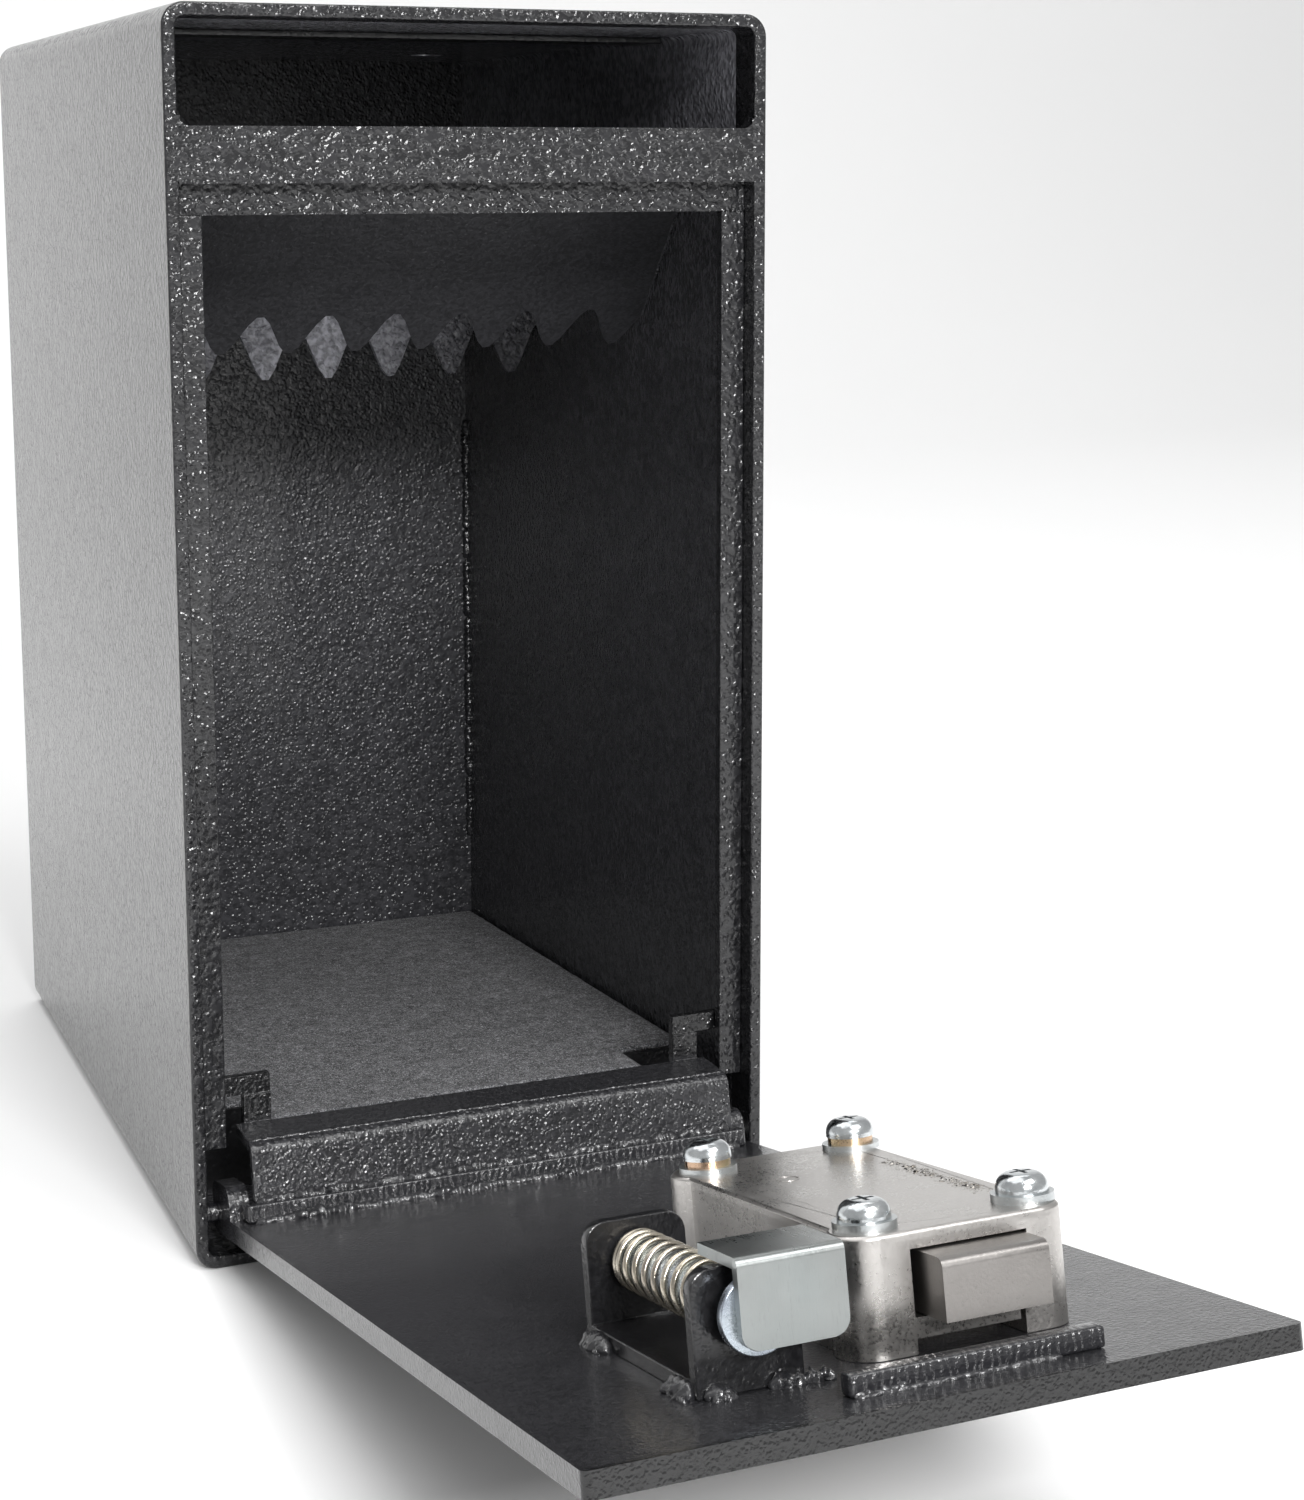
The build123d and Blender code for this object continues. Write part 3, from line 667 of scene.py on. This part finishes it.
def make_spring():
    """Compression spring with closed end coils."""
    rear, front_end = 178.5, 220.6
    coil_r, wire_r = 5.35, 0.68
    turns = [(0.0, 0.0), (1.6, 2.3), (9.6, front_end - rear - 3.4), (10.9, front_end - rear - 1.4)]
    centre_x, centre_h = -28.3, 14.0
    steps, sides = 440, 12
    verts, faces, rings = [], [], []

    def advance(turn):
        for (t0, d0), (t1, d1) in zip(turns, turns[1:]):
            if turn <= t1:
                return d0 + (d1 - d0) * (turn - t0) / (t1 - t0)
        return turns[-1][1]

    def centre(turn):
        a = 2 * math.pi * turn + 0.9
        return (centre_x + coil_r * math.cos(a), centre_h + coil_r * math.sin(a),
                rear + wire_r + advance(turn))

    for i in range(steps + 1):
        turn = turns[-1][0] * i / steps
        at = Vector(centre(turn))
        ahead = (Vector(centre(turn + 0.01)) - Vector(centre(turn - 0.01))).normalized()
        radial = Vector((at.x - centre_x, at.y - centre_h, 0)).normalized()
        across = ahead.cross(radial).normalized()
        ring = []
        for j in range(sides):
            a = 2 * math.pi * j / sides
            p = at + wire_r * (math.cos(a) * radial + math.sin(a) * across)
            ring.append(on_door(*p))
        rings.append(ring)
    ring_tube(rings, verts, faces)
    obj = add_piece("plunger_coil", verts, faces, "spring_wire", "door", "spring_wire")
    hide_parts("plunger_spring")
    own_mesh(obj)


def make_felt():
    """Floor mat: a felt sheet with a nap, its front corners cut back to clear the stop tabs."""
    random.seed(17)
    low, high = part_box("floor_mat")
    thick = 1.6 * MM
    width, half = high[0] - low[0], high[0]
    y0, y1 = low[1] + 0.1 * MM, high[1] - 0.1 * MM
    cut_half, cut_y = 53.0 * MM, -71.6 * MM
    pile = thick - 0.3 * MM    # the nap stands on this
    z_front, z_rear = high[2] - thick, low[2]

    def surface(x, y, lift):
        t = (y - y0) / (y1 - y0)
        return Vector((x, y, z_front + (z_rear - z_front) * t + lift))

    def nap(x, y):
        spot = Vector((x, y, 0.0))
        fine = noise.noise(spot * 620.0)
        broad = noise.noise(spot * 95.0)
        return (0.16 * fine + 0.12 * broad) * MM

    def stations(stops, counts):
        line = [stops[0]]
        for (a, b), n in zip(zip(stops, stops[1:]), counts):
            line += [a + (b - a) * i / n for i in range(1, n + 1)]
        return line

    def to_rim(x, y):
        """Distance from the cut outline of the mat."""
        if y < cut_y - 1e-7:
            return max(0.0, min(cut_half - abs(x), y - y0))
        ahead = y - cut_y if abs(x) > cut_half + 1e-7 else y - y0
        return max(0.0, min(half - abs(x), y1 - y, ahead))

    xs = stations([-half, -cut_half, cut_half, half], (17, 98, 17))
    ys = stations([y0, cut_y, y1], (14, 146))
    verts, faces = [], []
    for layer in (1, 0):
        for y in ys:
            for x in xs:
                rim = to_rim(x, y)
                lift = 0.0
                if layer:
                    lift = pile + nap(x, y)
                    lift -= 0.5 * MM * max(0.0, 1 - rim / (1.4 * MM)) ** 2
                fray = 0.0
                if rim < 0.01 * MM:
                    fray = 0.3 * MM * abs(noise.noise(Vector((x * 300, y * 300, 3.0))))
                px = x - math.copysign(fray, x)
                py = y + (fray if y < cut_y + 1e-7 else -fray)
                verts.append(surface(px, py, lift))
    stride, rows = len(xs), len(ys)
    under = stride * rows

    def kept(i, j):
        if not (0 <= i < stride - 1 and 0 <= j < rows - 1):
            return False
        return ys[j] > cut_y - 1e-7 or abs(xs[i] + xs[i + 1]) / 2 < cut_half

    for j in range(rows - 1):
        for i in range(stride - 1):
            if not kept(i, j):
                continue
            a = j * stride + i
            corners = (a, a + 1, a + stride + 1, a + stride)
            faces.append(corners)
            faces.append(tuple(under + c for c in reversed(corners)))
            beside = ((i, j - 1), (i + 1, j), (i, j + 1), (i - 1, j))
            for k, (ni, nj) in enumerate(beside):
                if not kept(ni, nj):
                    p, q = corners[k], corners[(k + 1) % 4]
                    faces.append((q, p, under + p, under + q))
    used = sorted({v for f in faces for v in f})
    place = {v: n for n, v in enumerate(used)}
    verts = [verts[v] for v in used]
    faces = [tuple(place[v] for v in f) for f in faces]
    mat = add_piece("felt_mat", verts, faces, "felt", "box", "felt")
    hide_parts("floor_mat")

    verts, faces = [], []
    for k in range(2600):
        x = random.uniform(low[0] + 2 * MM, high[0] - 2 * MM)
        y = random.uniform(y0 + 2 * MM, y1 - 2 * MM)
        heading = random.uniform(0, math.pi)
        curl = random.uniform(-0.5, 0.5)
        radius = random.uniform(0.035, 0.065) * MM
        stretch = random.uniform(0.5, 0.9) * MM
        rings = []
        for i in range(5):
            arch = 0.16 * MM * math.sin(math.pi * i / 4) + 0.02 * MM
            p = surface(x, y, pile + nap(x, y) + arch)
            side = Vector((-math.sin(heading), math.cos(heading), 0.0))
            rings.append([p + side * radius, p + Vector((0, 0, radius)), p - side * radius])
            x += stretch * math.cos(heading)
            y += stretch * math.sin(heading)
            heading += curl
        if to_rim(x, y) > 1.2 * MM:
            ring_tube(rings, verts, faces)
    fibres = add_piece("felt_fibres", verts, faces, "felt", "box", "felt")


def make_case_marks():
    """Rough cast patch and a round ejector mark on the top of the lock case."""
    top = 22.0
    verts, faces = [], []
    x0, x1, s0, s1 = 27.5, 36.0, 163.0, 208.0
    nx, ns = 44, 190
    for j in range(ns + 1):
        for i in range(nx + 1):
            u, v = i / nx, j / ns
            x, s = x0 + (x1 - x0) * u, s0 + (s1 - s0) * v
            # ragged outline that widens near the middle of the patch
            inside = min(u, 1 - u) * 2 - 0.55 * abs(noise.noise(Vector((s / 3.1, 0.4, 0))))
            end_wave = 0.5 * noise.noise(Vector((x, s / 2, 2.0)))
            inside = min(inside, (min(v, 1 - v) * 6) - end_wave)
            spot = Vector((x * 1.25, s * 1.25, 0.0))
            rough = noise.noise(spot) + 0.6 * noise.noise(spot * 2.3)
            height = -0.10 + 0.55 * max(0.0, min(1.0, inside)) * max(0.0, rough + 0.26)
            verts.append(on_door(x, top + height, s))
    stride = nx + 1
    for j in range(ns):
        for i in range(nx):
            a = j * stride + i
            faces.append((a, a + stride, a + stride + 1, a + 1))
    base = len(verts)
    corners = (0, nx, ns * stride + nx, ns * stride)
    verts.extend(verts[c] - door_up * 0.2 * MM for c in corners)
    rim = list(range(stride)) + [j * stride + nx for j in range(1, ns + 1)]
    rim += [ns * stride + i for i in range(nx - 1, -1, -1)]
    rim += [j * stride for j in range(ns - 1, 0, -1)]
    starts = [rim.index(c) for c in corners] + [len(rim)]
    for k in range(4):
        run = rim[starts[k]:starts[k + 1]] + [rim[starts[k + 1] % len(rim)]]
        faces.append(tuple(run + [base + (k + 1) % 4, base + k]))
    faces.append((base, base + 1, base + 2, base + 3))
    add_piece("cast_patch", verts, faces, "cast_skin", "door", "nickel_casting")

    mark_x, mark_s, mark_r = 8.7, 167.7, 2.3
    around, sides = 40, 8
    verts, faces = [], []
    for i in range(around):
        a = 2 * math.pi * i / around
        for j in range(sides):
            b = 2 * math.pi * j / sides
            r = mark_r + 0.22 * math.cos(b)
            verts.append(on_door(mark_x + r * math.cos(a), top + 0.02 + 0.1 * math.sin(b),
                                 mark_s + r * math.sin(a)))
            here, ahead = i * sides, (i + 1) % around * sides
            beside = (j + 1) % sides
            faces.append((here + j, ahead + j, ahead + beside, here + beside))
    add_piece("ejector_mark", verts, faces, "nickel_casting", "door", "nickel_casting")


def make_header_blends():
    """Ground flats that close the joints between the header and the two stiles."""
    joint_x, half_width = 73.0, 0.6
    depths, heights = (-114.32, -113.3), (264.1, 279.2)
    sides = ((0, 1, 3, 2), (4, 6, 7, 5), (0, 4, 5, 1), (2, 3, 7, 6), (0, 2, 6, 4), (1, 5, 7, 3))
    verts, faces = [], []
    for x in (-joint_x, joint_x):
        base = len(verts)
        verts += [Vector((a, b, c)) * MM for a in (x - half_width, x + half_width)
                  for b in depths for c in heights]
        faces += [tuple(base + i for i in side) for side in sides]
    add_piece("header_blends", verts, faces, "box_coat", "box", "powder_coat", smooth=False)


make_welds()
make_spring()
make_felt()
make_case_marks()
make_header_blends()


# ---------------------------------------------------------------- stage
def make_stage():
    half, front_y, back_y, radius, top = 3.0, -3.5, 2.4, 0.9, 3.4
    steps = 16
    profile = [(front_y, 0.0), (back_y - radius, 0.0)]
    for i in range(1, steps + 1):
        a = math.pi / 2 * i / steps
        profile.append((back_y - radius + radius * math.sin(a), radius - radius * math.cos(a)))
    profile.append((back_y, top))
    mesh = bpy.data.meshes.new("studio_sweep")
    verts = [(x, y, z) for x in (-half, half) for y, z in profile]
    n = len(profile)
    faces = [(i, i + n, i + n + 1, i + 1) for i in range(n - 1)]
    mesh.from_pydata(verts, [], faces)
    floor = bpy.data.objects.new("studio_sweep", mesh)
    bpy.context.collection.objects.link(floor)
    for p in mesh.polygons:
        p.use_smooth = True
    m = Nodes("studio_paper")
    m.color(m.ramp(m.noise(3.0), [(0.0, (0.95, 0.95, 0.95)), (1.0, (0.97, 0.97, 0.97))]))
    m.rough(m.span(m.noise(20.0), 0.8, 0.95))
    floor.data.materials.append(m.mat)


def area_light(name, location, target, size, power):
    data = bpy.data.lights.new(name, "AREA")
    data.shape = "RECTANGLE"
    data.size, data.size_y = size
    data.energy = power
    light = bpy.data.objects.new(name, data)
    light.location = location
    direction = Vector(target) - Vector(location)
    light.rotation_euler = direction.to_track_quat("-Z", "Y").to_euler()
    bpy.context.collection.objects.link(light)


make_stage()
bpy.context.scene.view_settings.view_transform = "Standard"
world = bpy.data.worlds.new("studio")
bpy.context.scene.world = world
world.use_nodes = True
background = world.node_tree.nodes["Background"]
background.inputs["Color"].default_value = (1.0, 1.0, 1.0, 1.0)
background.inputs["Strength"].default_value = 0.50
area_light("key", (0.0, -1.50, 0.80), (0.0, 0.0, 0.22), (0.44, 0.28), 19.0)
area_light("front_floor", (0.45, -1.15, 1.75), (0.40, -1.05, 0.0), (1.2, 0.9), 17.5)
area_light("top", (-0.5, 0.1, 1.9), (0.0, 0.0, 0.2), (1.6, 1.4), 8.0)
area_light("sweep", (-0.4, 1.3, 2.4), (-0.3, 2.2, 0.2), (3.4, 1.0), 19.0)

# ---------------------------------------------------------------- camera
cam_data = bpy.data.cameras.new("camera")
cam = bpy.data.objects.new("camera", cam_data)
bpy.context.collection.objects.link(cam)
right = Vector((0.923546, -0.383481, -0.002158)).normalized()
back = Vector((-0.378738, -0.912978, 0.151752)).normalized()
up = back.cross(right)
cam.matrix_world = Matrix((
    (right.x, up.x, back.x, -0.207516),
    (right.y, up.y, back.y, -0.707477),
    (right.z, up.z, back.z, 0.266042),
    (0.0, 0.0, 0.0, 1.0)))
cam_data.sensor_width = 36.0
cam_data.lens = 61.93
cam_data.shift_x = 0.01559
cam_data.shift_y = -0.12121
cam_data.clip_start = 0.01
cam_data.clip_end = 50.0
bpy.context.scene.camera = cam
